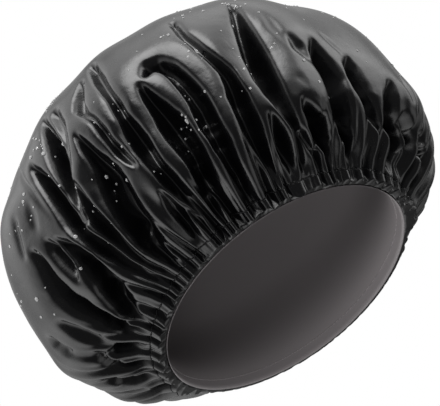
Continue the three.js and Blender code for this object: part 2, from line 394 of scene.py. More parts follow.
# The hollows that the photograph shows, each a line of points from the crown to the hem.
PHOTO_HOLLOWS = (
    Hollow(((233, 6, 2), (240, 18, 5), (250, 35, 8), (257, 50, 10), (267, 70, 10), (276, 86, 9),
            (285, 101, 7), (293, 116, 5), (300, 128, 4))),
    Hollow(((303, 128, 2), (308, 136, 4), (313, 146, 4), (318, 158, 3), (319, 172, 2))),
    Hollow(((314, 39, 2), (321, 50, 6), (330, 62, 9), (337, 72, 10), (342, 85, 10), (346, 100, 10),
            (349, 115, 9), (350, 130, 7), (352, 143, 5), (351, 158, 4), (348, 174, 4))),
    Hollow(((352, 54, 2), (356, 62, 5), (361, 72, 6), (366, 82, 6), (371, 92, 5), (375, 102, 5),
            (379, 112, 4), (382, 124, 3), (384, 138, 2))),
    Hollow(((391, 84, 2), (394, 95, 3.5), (396, 105, 5), (398, 116, 6), (400, 128, 7), (402, 140, 7),
            (400, 154, 5))),
    Hollow(((408, 113, 2), (410, 121, 3.5), (412, 131, 3.5), (414, 142, 4), (414, 153, 3))),
    Hollow(((422, 134, 2), (425, 145, 4), (427, 156, 4), (427, 166, 3))),
    Hollow(((305, 98, 2), (311, 107, 5), (317, 115, 7), (322, 123, 9), (326, 133, 9), (329, 143, 7),
            (331, 153, 4))),
    Hollow(((290, 36, 3), (300, 46, 6), (309, 54, 5), (317, 64, 2)), 0.3),
    Hollow(((173, 23, 2), (182, 33, 2.5), (200, 47, 3), (214, 58, 3.5), (226, 68, 5), (233, 80, 7),
            (238, 91, 9), (244, 103, 9), (250, 115, 9), (255, 125, 9), (261, 138, 8), (267, 152, 7),
            (272, 164, 6), (277, 175, 4))),
    Hollow(((272, 110, 2), (276, 117, 3.5), (281, 128, 5.5), (285, 139, 6.5), (289, 150, 7),
            (292, 160, 6), (294, 168, 4))),
    Hollow(((144, 72, 3), (147, 64, 4), (156, 61, 5), (167, 64, 6), (177, 72, 7), (188, 84, 8),
            (197, 96, 9), (203, 108, 10), (209, 120, 10), (217, 132, 9), (224, 144, 9), (230, 155, 7),
            (236, 168, 5), (243, 180, 3), (249, 196, 2))),
    Hollow(((140, 86, 3), (148, 96, 6), (158, 106, 9), (167, 117, 12), (176, 129, 13), (186, 142, 12),
            (194, 153, 11), (201, 166, 10), (206, 178, 10), (211, 190, 9), (215, 202, 7),
            (219, 214, 4))),
    Hollow(((103, 83, 2), (108, 92, 3.5), (114, 103, 5), (121, 115, 5), (129, 128, 8), (138, 141, 9),
            (147, 154, 8), (156, 166, 7), (166, 178, 7), (176, 190, 6), (186, 202, 5), (196, 214, 4),
            (206, 226, 2.5))),
    Hollow(((99, 63, 1), (112, 85, 1.3), (130, 113, 1.3), (153, 150, 1.3), (180, 185, 1.2),
            (205, 215, 1)), 0.8),
    Hollow(((160, 192, 2.5), (167, 201, 5), (175, 210, 6), (184, 219, 7), (191, 229, 5),
            (199, 239, 3.5), (209, 250, 3.5))),
    Hollow(((89, 114, 2), (94, 121, 3), (101, 131, 4), (108, 141, 4), (116, 150, 5), (125, 158, 4),
            (133, 164, 2.5))),
    Hollow(((75, 135, 2), (81, 144, 4), (89, 154, 6), (97, 165, 9), (103, 177, 13), (109, 189, 15),
            (116, 201, 15), (124, 213, 15), (133, 224, 14), (142, 235, 13), (151, 245, 11),
            (160, 254, 7), (172, 261, 3.5), (186, 267, 3.5))),
    Hollow(((71, 183, 2.5), (75, 192, 4), (79, 202, 5.5), (84, 211, 6.5), (91, 220, 7.5), (101, 231, 8),
            (111, 241, 7.5), (121, 250, 6), (134, 259, 4), (148, 267, 2.5), (165, 273, 2))),
    Hollow(((43, 122, 2), (45, 133, 4.5), (48, 144, 6), (52, 155, 7), (56, 167, 7), (60, 178, 6.5),
            (64, 190, 5.5), (69, 202, 4.5), (74, 213, 3), (79, 224, 3))),
    Hollow(((30, 168, 2), (35, 175, 4), (41, 183, 5.5), (47, 192, 6.5), (53, 202, 7), (59, 211, 7),
            (65, 220, 7), (72, 230, 6), (81, 239, 7), (92, 248, 8), (104, 256, 8), (116, 263, 7),
            (128, 270, 6), (140, 275, 5), (150, 279, 3))),
    Hollow(((53, 241, 2.5), (62, 248, 5), (72, 257, 7), (82, 266, 8.5), (92, 276, 10), (101, 286, 11),
            (110, 296, 12), (119, 306, 11), (127, 315, 8), (138, 321, 4))),
    Hollow(((45, 243, 2), (49, 249, 3.5), (56, 258, 4), (63, 267, 4), (69, 275, 3), (74, 283, 2))),
    Hollow(((31, 254, 2), (36, 263, 3.5), (42, 273, 5), (48, 284, 6), (56, 295, 7), (66, 304, 7.5),
            (78, 312, 8), (91, 318, 7), (103, 324, 6.5), (115, 330, 6), (128, 334, 4.5),
            (140, 333, 3))),
    Hollow(((60, 326, 3), (72, 333, 5), (85, 339, 6), (98, 344, 5), (108, 347, 3)), 0.5),
    Hollow(((113, 354, 2), (120, 354, 4), (130, 352, 3.5), (140, 349, 2.5), (152, 346, 2))),
    Hollow(((94, 356, 1.5), (103, 361, 2.5), (113, 365, 2.5), (125, 367, 2), (138, 366, 2.5),
            (150, 363, 3))),
    Hollow(((104, 381, 1.5), (113, 384, 3.5), (124, 386, 4), (135, 385, 3))),
    Hollow(((30, 322, 4), (42, 333, 5), (54, 345, 5), (64, 353, 3)), 0.4),
    Hollow(((50, 103, 1.5), (53, 113, 3.5), (57, 125, 4.5), (60, 138, 4.5), (63, 150, 4), (66, 162, 3),
            (69, 172, 2)), 0.5),
    Hollow(((80, 82, 2), (76, 95, 4), (76, 106, 5), (84, 114, 4), (93, 120, 3)), 0.65),
    Hollow(((91, 66, 3), (97, 78, 6), (105, 90, 5), (112, 101, 4)), 0.75),
    Hollow(((19, 172, 1.2), (28, 188, 1.6), (36, 201, 1.6), (45, 213, 1.6), (52, 222, 1.2)), 0.6),
    Hollow(((30, 178, 1.2), (38, 192, 1.6), (47, 205, 1.6), (56, 217, 1.2)), 0.6),
    Hollow(((10, 205, 1.5), (13, 222, 2), (17, 240, 2), (23, 258, 1.5)), 0.4),
    Hollow(((27, 206, 3), (30, 216, 5), (34, 228, 3)), 0.15),
    Hollow(((378, 52, 1.2), (390, 67, 1.5), (402, 84, 1.5), (412, 102, 1.2)), 0.4),
    Hollow(((322, 32, 1.2), (333, 40, 1.8), (344, 49, 1.5)), 0.4),
    Hollow(((262, 14, 2), (272, 26, 5), (284, 40, 4)), 0.12),
    Hollow(((292, 66, 2), (300, 76, 5), (308, 84, 3)), 0.15),
)

# The cloth's fullness lets it stand out at the lower left, the bottom and the right of the photograph.
PHOTO_SWELLS = (
    Hollow(((18, 240, 32), (24, 265, 38), (33, 290, 42), (44, 315, 42), (62, 344, 32)), 0.33),
    Hollow(((90, 368, 26), (125, 386, 24), (155, 395, 18)), 0.2),
    Hollow(((414, 120, 30), (423, 155, 32), (418, 195, 26)), 0.22),
)


class FoldField:
    """The folds of the cloth: broad folds between long hollows, and finer gathers towards the hem."""

    BANDS = (
        FoldBand(6, 16, 0.9 * MM, (0.16, 0.40), (0.80, 0.96), 2.5),
        FoldBand(30, 66, 1.9 * MM, (0.75, 0.92), (1.02, 1.06), 5.0, True),
        FoldBand(50, 140, 1.3 * MM, (0.80, 0.94), (1.02, 1.06), 6.0, True),
    )
    EDGE_POINTS = FoldBand(14, 50, 0.8 * MM, (0.0, 0.1), (1.1, 1.2), 0.0, True)
    # How a family's waves are drawn: how much they crowd in the middle of its range, and their strengths.
    WAVE_CROWDING = 3
    WAVE_STRENGTHS = (0.5, 1.0)
    # A pinched family's flat tops, narrow valleys and how sharply one turns into the other.
    PINCH_TOP = 0.5
    PINCH_DEPTH = 0.8
    PINCH_SHARPNESS = 2.0

    # Measured hollows: how they join, how far one spreads on leaning cloth, and which run on to the hem.
    BLEND = 4.0
    CREST_ROUNDING = 1.1 * MM
    AIM_STEPS = 4
    WIDEST_LEAN = 1.6
    RUNS_ON = 0.86
    RUN_ON_WIDTH = 0.7

    # Hollows on the hidden side: how far apart they are, and between which sizes each one is drawn.
    HIDDEN_PITCH = math.radians(8.0)
    HIDDEN_STRAY = 0.3
    HIDDEN_BEGINS = (0.28, 0.62)
    HIDDEN_ENDS = (0.90, 0.97)
    HIDDEN_BEND = 0.03
    HIDDEN_TAPER = np.array([0.45, 0.8, 1.0, 1.0, 0.8, 0.4])
    HIDDEN_WIDTHS_MM = (3.5, 8.5)
    HIDDEN_DEPTHS = (0.5, 1.0)

    # The hem: hollows end above the stitch line, which lies in a groove, and the casing bulges in front.
    GROOVE_BREADTH = 1.8 * MM
    GROOVE_DEPTH = 0.35 * MM
    HOLLOWS_FADE = 0.035
    CASING_ABOVE = 0.03
    CASING_BELOW = 0.003
    CASING_FULLNESS = 1.8 * MM
    # At the back the gathers are calmer, and lie clear of the casing.
    BACK = (0.15, 0.6)
    BACK_CALM = 0.8
    BACK_CLEARANCE = 1.5 * MM
    CLEARANCE_BEGINS = (0.80, 0.90)
    CLEARANCE_FADE = 0.02

    def __init__(self, sizes: CapSizes, outline: Meridian, view: "PhotoView", seed: int) -> None:
        """Draws every fold's place.

        Args:
            sizes: The cap's sizes.
            outline: The cap's outline.
            view: The photograph's view, through which the measured hollows are laid on the cap.
            seed: The seed of the draws.
        """
        self.sizes = sizes
        self.outline = outline
        self.view = view
        self.random = np.random.default_rng(seed)
        self.waves = {band: self._draw(band) for band in self.BANDS + (self.EDGE_POINTS,)}
        # The swells are laid on the plain outline, and the hollows on the swollen one.
        self.swells = []
        self.swells = [self._lay(swell) for swell in PHOTO_SWELLS]
        self.hollows = [self._lay(hollow) for hollow in PHOTO_HOLLOWS]
        self.hollows += self._hidden()

    def _draw(self, band: FoldBand) -> list[tuple[int, float, float, float]]:
        """Draws one family's waves.

        Args:
            band: The family.

        Returns:
            Each wave's count, strength, phase and drift along the cloth.
        """
        middle = (band.fewest + band.most) / 2
        spread = (band.most - band.fewest) / self.WAVE_CROWDING
        drawn = []
        for count in range(band.fewest, band.most + 1):
            crowd = math.exp(-(((count - middle) / spread) ** 2))
            strength = crowd * self.random.uniform(*self.WAVE_STRENGTHS)
            phase = self.random.uniform(0, FULL_TURN)
            drawn.append((count, strength, phase, self.random.normal(0, band.drift)))
        total = math.sqrt(sum(wave[1] ** 2 for wave in drawn) / 2)
        return [(count, strength / total, phase, drift) for count, strength, phase, drift in drawn]

    def _swell(self, angle: Array, share: Array) -> Array:
        """How far the cloth stands out of the outline.

        Args:
            angle: Angles round the cap.
            share: Shares of the way from crown to edge.

        Returns:
            Heights in metres, by share and angle.
        """
        point, _ = self.outline.at(share)
        swell = np.zeros((len(share), len(angle)))
        for part in self.swells:
            swell += part.carve(angle, share, point[:, 0], self.outline.length)
        return swell

    def _point(self, angle: float, share: float) -> Array:
        """A place on the swollen cloth in space.

        Args:
            angle: Its angle round the cap.
            share: Its share of the way from crown to edge.

        Returns:
            The point.
        """
        swell = self._swell(np.array([angle]), np.array([share]))[0]
        point, _ = self.outline.at(np.array([share]), -swell)
        return np.array([point[0, 0] * math.cos(angle), point[0, 0] * math.sin(angle), point[0, 1]])

    def _meet(self, pixel: Array) -> tuple[float, float] | None:
        """The place on the swollen cloth that a pixel of the photograph shows.

        Args:
            pixel: The pixel.

        Returns:
            The angle round the cap and the share of the way to the edge, or nothing if it misses.
        """
        aim = pixel.copy()
        met = None
        for _ in range(self.AIM_STEPS):
            found = self.outline.meet(*self.view.ray(tuple(aim)))
            if found is None:
                break
            met = found
            aim += pixel - self.view.pixel(self._point(*met))
        return met

    def _half_width(self, pixel: Array, side: Array) -> float:
        """Half a hollow's width on the cap, from its two edges in the photograph.

        Args:
            pixel: The hollow's middle.
            side: The step from there to one edge, in pixels.

        Returns:
            Half the width in metres.
        """
        level = float(np.linalg.norm(side)) * self.view.metres_per_pixel
        met = [self._meet(pixel + way * side) for way in (-1.0, 0.0, 1.0)]
        seen = [self._point(*place) for place in met if place is not None]
        spans = [np.linalg.norm(after - before) for before, after in zip(seen, seen[1:])]
        return min(float(np.mean(spans)), self.WIDEST_LEAN * level) if spans else level

    def _lay(self, hollow: Hollow) -> LaidHollow:
        """Lays a measured hollow on the cap.

        Args:
            hollow: The hollow as measured.

        Returns:
            The hollow on the cap.
        """
        pixels = np.array([point[:2] for point in hollow.points], float)
        run = np.gradient(pixels, axis=0)
        side = np.stack([-run[:, 1], run[:, 0]], axis=1) / np.linalg.norm(run, axis=1, keepdims=True)
        shares, angles, widths = [], [], []
        for pixel, across, point in zip(pixels, side, hollow.points):
            met = self._meet(pixel)
            if met is not None:
                angles.append(met[0])
                shares.append(met[1])
                widths.append(self._half_width(pixel, across * point[2]))
        if self.RUNS_ON < shares[-1] < self.outline.stitch_share:
            shares.append(self.outline.stitch_share)
            angles.append(angles[-1])
            widths.append(self.RUN_ON_WIDTH * widths[-1])
        return LaidHollow(np.array(shares), np.unwrap(np.array(angles)), np.array(widths), hollow.depth)

    def _hidden(self) -> list[LaidHollow]:
        """Draws hollows on the side that the photograph doesn't show, spaced and bent like the others.

        Returns:
            The hollows on the cap.
        """
        seen = np.sort(np.array([hollow.angles[-1] % FULL_TURN for hollow in self.hollows]))
        gaps = np.diff(np.concatenate([seen, seen[:1] + FULL_TURN]))
        widest = int(np.argmax(gaps))
        count = int(gaps[widest] / self.HIDDEN_PITCH)
        corners = len(self.HIDDEN_TAPER)
        draw = self.random.uniform
        drawn = []
        for number in range(1, count):
            stray = draw(-self.HIDDEN_STRAY, self.HIDDEN_STRAY)
            middle = seen[widest] + gaps[widest] * (number + stray) / count
            shares = np.linspace(draw(*self.HIDDEN_BEGINS), draw(*self.HIDDEN_ENDS), corners)
            bend = np.cumsum(self.random.normal(0.0, self.HIDDEN_BEND, corners))
            width = self.HIDDEN_TAPER * draw(*self.HIDDEN_WIDTHS_MM) * MM
            drawn.append(LaidHollow(shares, middle + bend - bend[-1], width, draw(*self.HIDDEN_DEPTHS)))
        return drawn

    def _family(self, band: FoldBand, angle: Array, share: Array) -> Array:
        """One family's heights: even waves, or flat tops with narrow valleys where the cloth is pinched.

        Args:
            band: The family.
            angle: Angles round the cap.
            share: Shares of the way from crown to edge.

        Returns:
            Heights in metres.
        """
        height = np.zeros(np.broadcast(angle, share).shape)
        for count, strength, phase, drift in self.waves[band]:
            height += strength * np.cos(count * angle + phase + drift * (1.0 - share))
        if band.pinched:
            valley = np.log1p(np.exp(-self.PINCH_SHARPNESS * height))
            height = self.PINCH_TOP - self.PINCH_DEPTH * valley
        return height * band.depth * band.envelope(share)

    def edge_droop(self, angle: Array) -> Array:
        """How far the hem's edge hangs below the elastic, mostly in narrow points where a fold is caught."""
        return np.maximum(-self._family(self.EDGE_POINTS, angle, np.ones(1)), 0.0)

    def _soften(self, depth: Array) -> Array:
        """Rounds the crests between hollows, as far as the cloth's own stiffness does.

        Args:
            depth: Depths by share and angle.

        Returns:
            The softened depths.
        """
        column = FULL_TURN * self.sizes.girth_radius / depth.shape[1]
        # Each pass widens the square of the rounding by half a column's square.
        passes = round(2 * (self.CREST_ROUNDING / column) ** 2)
        for _ in range(passes):
            depth = (np.roll(depth, 1, axis=1) + 2 * depth + np.roll(depth, -1, axis=1)) / 4
        padded = np.pad(depth, ((1, 1), (0, 0)), mode="edge")
        return (padded[:-2] + 2 * depth + padded[2:]) / 4

    def insets(self, angle: Array, share: Array) -> Array:
        """How far the cloth lies inside the outline.

        Args:
            angle: Angles round the cap.
            share: Shares of the way from crown to edge.

        Returns:
            Depths in metres, by share and angle.
        """
        point, _ = self.outline.at(share)
        total = np.zeros((len(share), len(angle)))
        for hollow in self.hollows:
            total += hollow.carve(angle, share, point[:, 0], self.outline.length) ** self.BLEND
        stitch = self.outline.stitch_share
        valleys = self._soften(total ** (1.0 / self.BLEND))
        valleys *= (1.0 - smooth_step(stitch - self.HOLLOWS_FADE, stitch, share))[:, None]
        waves = sum(self._family(band, angle[None, :], share[:, None]) for band in self.BANDS)
        groove = np.exp(-(((share - stitch) * self.outline.length / self.GROOVE_BREADTH) ** 2))
        behind = smooth_step(*self.BACK, np.sin(angle))[None, :]
        above_stitch = 1.0 - smooth_step(stitch - self.CLEARANCE_FADE, stitch, share)
        near_hem = smooth_step(*self.CLEARANCE_BEGINS, share) * above_stitch
        clear = self.BACK_CLEARANCE * near_hem[:, None] * behind
        at_casing = smooth_step(stitch - self.CASING_ABOVE, stitch + self.CASING_BELOW, share)[:, None]
        fullness = self.CASING_FULLNESS * at_casing * (1.0 - behind)
        waves = waves * (1.0 - self.BACK_CALM * behind * at_casing) + fullness
        return valleys - self._swell(angle, share) - waves + clear + (self.GROOVE_DEPTH * groove)[:, None]


# Cloth


class GatheredCloth:
    """The outer cloth as rings of points from the crown down to the hem's edge."""

    CROWN_SHARE = 0.06
    FOLDS_SET_IN = 0.06
    ROW_CROWDING = 0.55
    EDGE_SAG = 0.4
    FULL_GRID = (960, 160)
    QUICK_GRID = (480, 84)

    def __init__(self, sizes: CapSizes, outline: Meridian, folds: FoldField) -> None:
        """Sets the cloth up.

        Args:
            sizes: The cap's sizes.
            outline: The cap's outline.
            folds: Where the folds fall.
        """
        self.sizes = sizes
        self.outline = outline
        self.folds = folds
        self.columns, self.rows = self.FULL_GRID

    def row_shares(self) -> Array:
        """Spaces the rows closer together towards the edge, with one of them on the stitch line.

        Returns:
            Each row's share of the way from crown to edge.
        """
        step = np.linspace(0.0, 1.0, self.rows)
        eased = step + self.ROW_CROWDING * (step - step**2)
        share = self.CROWN_SHARE + (1.0 - self.CROWN_SHARE) * eased
        share[self.stitch_row(share)] = self.outline.stitch_share
        return share

    def stitch_row(self, share: Array) -> int:
        """The number of the row on the stitch line."""
        return int(np.argmin(np.abs(share - self.outline.stitch_share)))

    def settle(self) -> Array:
        """Lays the cloth in its folds.

        Returns:
            Points as rows, columns and coordinates, from round the crown down to the hem's edge.
        """
        share = self.row_shares()
        angle = angles_round(self.columns)
        point, normal = self.outline.at(share)
        inset = self.folds.insets(angle, share)
        inset *= smooth_step(self.CROWN_SHARE, self.CROWN_SHARE + self.FOLDS_SET_IN, share)[:, None]
        radius = point[:, :1] - inset * normal[:, :1]
        rise = point[:, 1:] - inset * normal[:, 1:]
        casing = share >= self.outline.stitch_share
        radius[casing] = np.maximum(radius[casing], self.sizes.casing_radius)
        bulge = radius[casing] - self.sizes.casing_radius
        reach = (share[casing] - self.outline.stitch_share) / (1.0 - self.outline.stitch_share)
        front = 1.0 - smooth_step(*FRONT_TO_BACK, np.sin(angle))
        droop = self.EDGE_SAG * bulge + self.folds.edge_droop(angle)[None, :]
        sag = droop * reach[:, None] * front[None, :]
        rise[casing] = np.maximum(rise[casing], self.sizes.edge_height) - sag
        return rings(radius, rise, angle)

    def crown_rows(self, ring: Array, count: int) -> Array:
        """Rows that close the smooth crown inside the cloth's first row.

        Args:
            ring: The cloth's first row.
            count: How many steps there are from the middle to the ring.

        Returns:
            Rows from near the crown's middle out to just inside the ring.
        """
        share = np.linspace(0.0, self.CROWN_SHARE, count + 1)[1:-1]
        point, _ = self.outline.at(share)
        ring_point, _ = self.outline.at(np.array([self.CROWN_SHARE]))
        unit = ring[:, :2] / np.hypot(ring[:, 0], ring[:, 1])[:, None]
        lift = (ring[:, 2] - ring_point[0, 1])[None, :] * (point[:, :1] / ring_point[0, 0])
        flat = point[:, :1, None] * unit[None, :, :]
        return np.concatenate([flat, (point[:, 1:] + lift)[:, :, None]], axis=2)


# Meshes


def mesh_piece(name: str, points: Array, faces: list[tuple[int, ...]]) -> Piece:
    """Makes a smooth-shaded mesh object.

    Args:
        name: The piece's name.
        points: Its points, one row each.
        faces: Its faces, by the points' numbers.

    Returns:
        The object, in the scene.
    """
    mesh = bpy.data.meshes.new(name)
    mesh.from_pydata(points.tolist(), [], faces)
    mesh.validate()
    mesh.shade_smooth()
    made = bpy.data.objects.new(name, mesh)
    bpy.context.scene.collection.objects.link(made)
    return made


def ring_faces(rows: int, columns: int, start: int = 0) -> list[tuple[int, ...]]:
    """Faces between rings of points that follow each other.

    Args:
        rows: How many rings.
        columns: How many points in each.
        start: The first point's number.

    Returns:
        The faces, turned outwards for rings that go down the cap.
    """
    faces = []
    for upper in range(start, start + (rows - 1) * columns, columns):
        lower = upper + columns
        for column in range(columns):
            after = (column + 1) % columns
            faces.append((upper + column, lower + column, lower + after, upper + after))
    return faces


def tip_faces(tip: int, start: int, columns: int) -> list[tuple[int, ...]]:
    """Faces that close a ring of points to a tip above it."""
    return [(tip, start + column, start + (column + 1) % columns) for column in range(columns)]


def end_face(start: int, columns: int) -> tuple[int, ...]:
    """The face that closes a ring of points from below."""
    return tuple(range(start + columns - 1, start - 1, -1))


def grid_piece(name: str, rows: Array, tip: Array | None = None) -> Piece:
    """Makes a sheet from rings of points, closed to a tip above the first where one is given.

    Args:
        name: The piece's name.
        rows: Points as rows, columns and coordinates.
        tip: The point that closes the first ring.

    Returns:
        The object.
    """
    count, columns, _ = rows.shape
    points = rows.reshape(-1, 3)
    faces = ring_faces(count, columns)
    if tip is not None:
        points = np.concatenate([points, tip[None, :]])
        faces += tip_faces(count * columns, 0, columns)
    return mesh_piece(name, points, faces)


def grid_area(rows: Array) -> float:
    """The area of a sheet made of rings of points.

    Args:
        rows: Points as rows, columns and coordinates.

    Returns:
        The area in square metres.
    """
    along = rows[1:] - rows[:-1]
    around = np.roll(rows, -1, axis=1)[:-1] - rows[:-1]
    return float(np.linalg.norm(np.cross(along, around), axis=2).sum())


def flat_uv(piece: Piece, flat: Array) -> None:
    """Gives a piece the flat cut's coordinates, in metres, so that the weave runs straight across the cut.

    Args:
        piece: The piece.
        flat: Each point's place on the flat cut.
    """
    layer = piece.data.uv_layers.new(name="flat_cut")
    corners = np.empty(len(piece.data.loops), np.int32)
    piece.data.loops.foreach_get("vertex_index", corners)
    layer.data.foreach_set("uv", flat[corners].astype(np.float32).ravel())


def thicken(piece: Piece, thickness: float, side: Side) -> None:
    """Gives a sheet its thickness.

    Args:
        piece: The sheet.
        thickness: How thick it is.
        side: The side of its points that the thickness lies on.
    """
    solid = piece.modifiers.new("sheet_thickness", "SOLIDIFY")
    solid.thickness = thickness
    solid.offset = side.value


# Finishes


def linear(code: str) -> tuple[float, float, float, float]:
    """Turns an sRGB hex colour into linear values.

    Args:
        code: The colour, as a hash mark and six hex digits.

    Returns:
        Linear red, green and blue, and full alpha.
    """
    parts = [int(code[k : k + 2], 16) / 255 for k in (1, 3, 5)]
    red, green, blue = (c / 12.92 if c <= 0.04045 else ((c + 0.055) / 1.055) ** 2.4 for c in parts)
    return red, green, blue, 1.0


def add_node(
    tree: Tree,
    kind: str,
    settings: dict[str, Any] | None = None,
    links: dict[str | int, Socket] | None = None,
) -> Node:
    """Adds a shader node.

    Args:
        tree: The node tree.
        kind: The node's type, without the words that all of them begin with.
        settings: Attributes of the node, or values of its input sockets.
        links: Input sockets by name or number, and the output sockets that feed them.

    Returns:
        The node.
    """
    node = tree.nodes.new("ShaderNode" + kind)
    for key, value in (settings or {}).items():
        if hasattr(node, key):
            setattr(node, key, value)
        else:
            node.inputs[key].default_value = value
    for key, source in (links or {}).items():
        tree.links.new(source, node.inputs[key])
    return node


class Finish:
    """A real material's finish."""

    def shader(self, tree: Tree) -> Node:
        """Adds the finish's nodes, and gives the last of them."""
        raise NotImplementedError

    def material(self, name: str) -> bpy.types.Material:
        """Makes a material of this finish.

        Args:
            name: The material's name.

        Returns:
            The material.
        """
        material = bpy.data.materials.new(name)
        material.use_nodes = True
        tree = material.node_tree
        tree.nodes.clear()
        add_node(tree, "OutputMaterial", links={"Surface": self.shader(tree).outputs["BSDF"]})
        return material


@dataclass(frozen=True)
class CoatedSatin(Finish):
    """Polyester satin with a clear waterproof coat: deep black, with long soft reflections on its folds."""

    colour: str = "#050506"
    refraction: float = 1.5
    # How rough it is where it shines most and where it is dullest.
    roughness: tuple[float, float] = (0.18, 0.30)
    # The real threads lie about 0.1 mm apart. The weave is drawn as coarse as this, so that it shows.
    weave_pitch: float = 4.0 * MM
    weave_depth: float = 0.1 * MM
    weave_strength: float = 0.05
    crease_size: float = 9 * MM
    crease_depth: float = 1.2 * MM
    crease_strength: float = 0.22
    crease_contrast: tuple[float, float] = (0.3, 0.7)

    def shader(self, tree: Tree) -> Node:
        """Adds a fine diagonal weave and soft creases, which are duller in places.

        Args:
            tree: The material's nodes.

        Returns:
            The shader node.
        """
        flat = add_node(tree, "UVMap", {"uv_map": "flat_cut"})
        place = add_node(tree, "TexCoord")
        scale = DIAGONAL_BANDS / self.weave_pitch
        bands = {"wave_type": "BANDS", "bands_direction": "DIAGONAL", "Scale": scale}
        weave = add_node(tree, "TexWave", bands, {"Vector": flat.outputs["UV"]})
        clouds = {"Scale": 1.0 / self.crease_size, "Detail": 4.0, "Roughness": 0.6}
        crease = add_node(tree, "TexNoise", clouds, {"Vector": place.outputs["Object"]})
        low, high = self.crease_contrast
        shiny, dull = self.roughness
        spread = {"From Min": low, "From Max": high, "To Min": shiny, "To Max": dull}
        shine = add_node(tree, "MapRange", spread, {"Value": crease.outputs["Fac"]})
        relief = {"Strength": self.weave_strength, "Distance": self.weave_depth}
        fine = add_node(tree, "Bump", relief, {"Height": weave.outputs["Fac"]})
        relief = {"Strength": self.crease_strength, "Distance": self.crease_depth}
        feeds = {"Height": crease.outputs["Fac"], "Normal": fine.outputs["Normal"]}
        soft = add_node(tree, "Bump", relief, feeds)
        feeds = {"Roughness": shine.outputs["Result"], "Normal": soft.outputs["Normal"]}
        looks = {"Base Color": linear(self.colour), "IOR": self.refraction}
        return add_node(tree, "BsdfPrincipled", looks, feeds)


@dataclass(frozen=True)
class LiningFilm(Finish):
    """Blown vinyl film, matted on the side that shows: a plain grey with a soft sheen."""

    colour: str = "#6f6b6c"
    refraction: float = 1.45
    roughness: tuple[float, float] = (0.49, 0.61)
    # The real matt grain is a few tenths of a millimetre. It is drawn coarser, so that it shows.
    grain: float = 1.5 * MM
    grain_depth: float = 0.2 * MM
    grain_strength: float = 0.06

    def shader(self, tree: Tree) -> Node:
        """Adds a faint grain that is uneven in shine.

        Args:
            tree: The material's nodes.

        Returns:
            The shader node.
        """
        place = add_node(tree, "TexCoord")
        clouds = {"Scale": 1.0 / self.grain, "Detail": 3.0}
        grain = add_node(tree, "TexNoise", clouds, {"Vector": place.outputs["Object"]})
        smooth, rough = self.roughness
        spread = {"To Min": smooth, "To Max": rough}
        shine = add_node(tree, "MapRange", spread, {"Value": grain.outputs["Fac"]})
        relief = {"Strength": self.grain_strength, "Distance": self.grain_depth}
        bump = add_node(tree, "Bump", relief, {"Height": grain.outputs["Fac"]})
        looks = {"Base Color": linear(self.colour), "IOR": self.refraction}
        feeds = {"Roughness": shine.outputs["Result"], "Normal": bump.outputs["Normal"]}
        return add_node(tree, "BsdfPrincipled", looks, feeds)


@dataclass(frozen=True)
class RibbedYarn(Finish):
    """Spun or knitted yarn: dull, with ribs across its length, each with a painted highlight along its top.

    A sewing thread has a twist about every 0.4 mm, and a knitted elastic a rib every millimetre. Both are
    drawn over four times as coarse, so that they show.
    """

    colour: str
    pitch: float
    roughness: float = 0.7
    rib_depth: float = 0.1 * MM
    rib_strength: float = 0.4
    unevenness: float = 0.6
    # How much brighter the painted highlight on each rib's top is than the yarn's colour.
    painted_highlight_gain: float = 1.6

    def shader(self, tree: Tree) -> Node:
        """Adds the ribs in relief, with a painted highlight along each rib's top.

        Args:
            tree: The material's nodes.

        Returns:
            The shader node.
        """
        place = add_node(tree, "TexCoord")
        bands = {"wave_type": "BANDS", "bands_direction": "DIAGONAL"}
        bands |= {"Scale": DIAGONAL_BANDS / self.pitch, "Distortion": self.unevenness}
        rib = add_node(tree, "TexWave", bands, {"Vector": place.outputs["Object"]})
        # Each rib's top is painted brighter than the yarn: a painted highlight, not a colour the yarn has.
        painted_rib_highlight = add_node(tree, "Mix", {"data_type": "RGBA"}, {"Factor": rib.outputs["Fac"]})
        base = linear(self.colour)
        # A mix node's colour sockets share their names with its others, so they go by number.
        painted_rib_highlight.inputs[6].default_value = base
        painted_rib_highlight.inputs[7].default_value = (*(self.painted_highlight_gain * part for part in base[:3]), 1.0)
        relief = {"Strength": self.rib_strength, "Distance": self.rib_depth}
        bump = add_node(tree, "Bump", relief, {"Height": rib.outputs["Fac"]})
        feeds = {"Base Color": painted_rib_highlight.outputs[2], "Normal": bump.outputs["Normal"]}
        return add_node(tree, "BsdfPrincipled", {"Roughness": self.roughness}, feeds)


@dataclass(frozen=True)
class ClearWater(Finish):
    """Clean water: mostly clear, with a real bright reflection and a thin dark rim on each drop, and a share
    of plain white that is a painted glint.
    """

    # The white colour shows in the share that isn't clear: a painted glint, not a colour that water has.
    colour: str = "#ffffff"
    roughness: float = 0.02
    refraction: float = 1.33
    clearness: float = 0.74
    ripple: float = 2.0 * MM
    ripple_depth: float = 0.2 * MM
    ripple_strength: float = 0.1

    def shader(self, tree: Tree) -> Node:
        """Adds a faint ripple to water that is mostly clear, with a painted white glint.

        Args:
            tree: The material's nodes.

        Returns:
            The shader node.
        """
        place = add_node(tree, "TexCoord")
        clouds = {"Scale": 1.0 / self.ripple, "Detail": 1.0}
        ripple = add_node(tree, "TexNoise", clouds, {"Vector": place.outputs["Object"]})
        relief = {"Strength": self.ripple_strength, "Distance": self.ripple_depth}
        bump = add_node(tree, "Bump", relief, {"Height": ripple.outputs["Fac"]})
        looks = {"Base Color": linear(self.colour), "Roughness": self.roughness}
        looks |= {"IOR": self.refraction, "Transmission Weight": self.clearness}
        return add_node(tree, "BsdfPrincipled", looks, {"Normal": bump.outputs["Normal"]})


@dataclass(frozen=True)
class PalePaint(Finish):
    """Matt emulsion paint, rolled on: an even, pale grey."""

    colour: str = "#e9e8e6"
    roughness: float = 0.8

    def shader(self, tree: Tree) -> Node:
        """Adds the plain paint."""
        looks = {"Base Color": linear(self.colour), "Roughness": self.roughness}
        return add_node(tree, "BsdfPrincipled", looks)


# Pieces of the cap


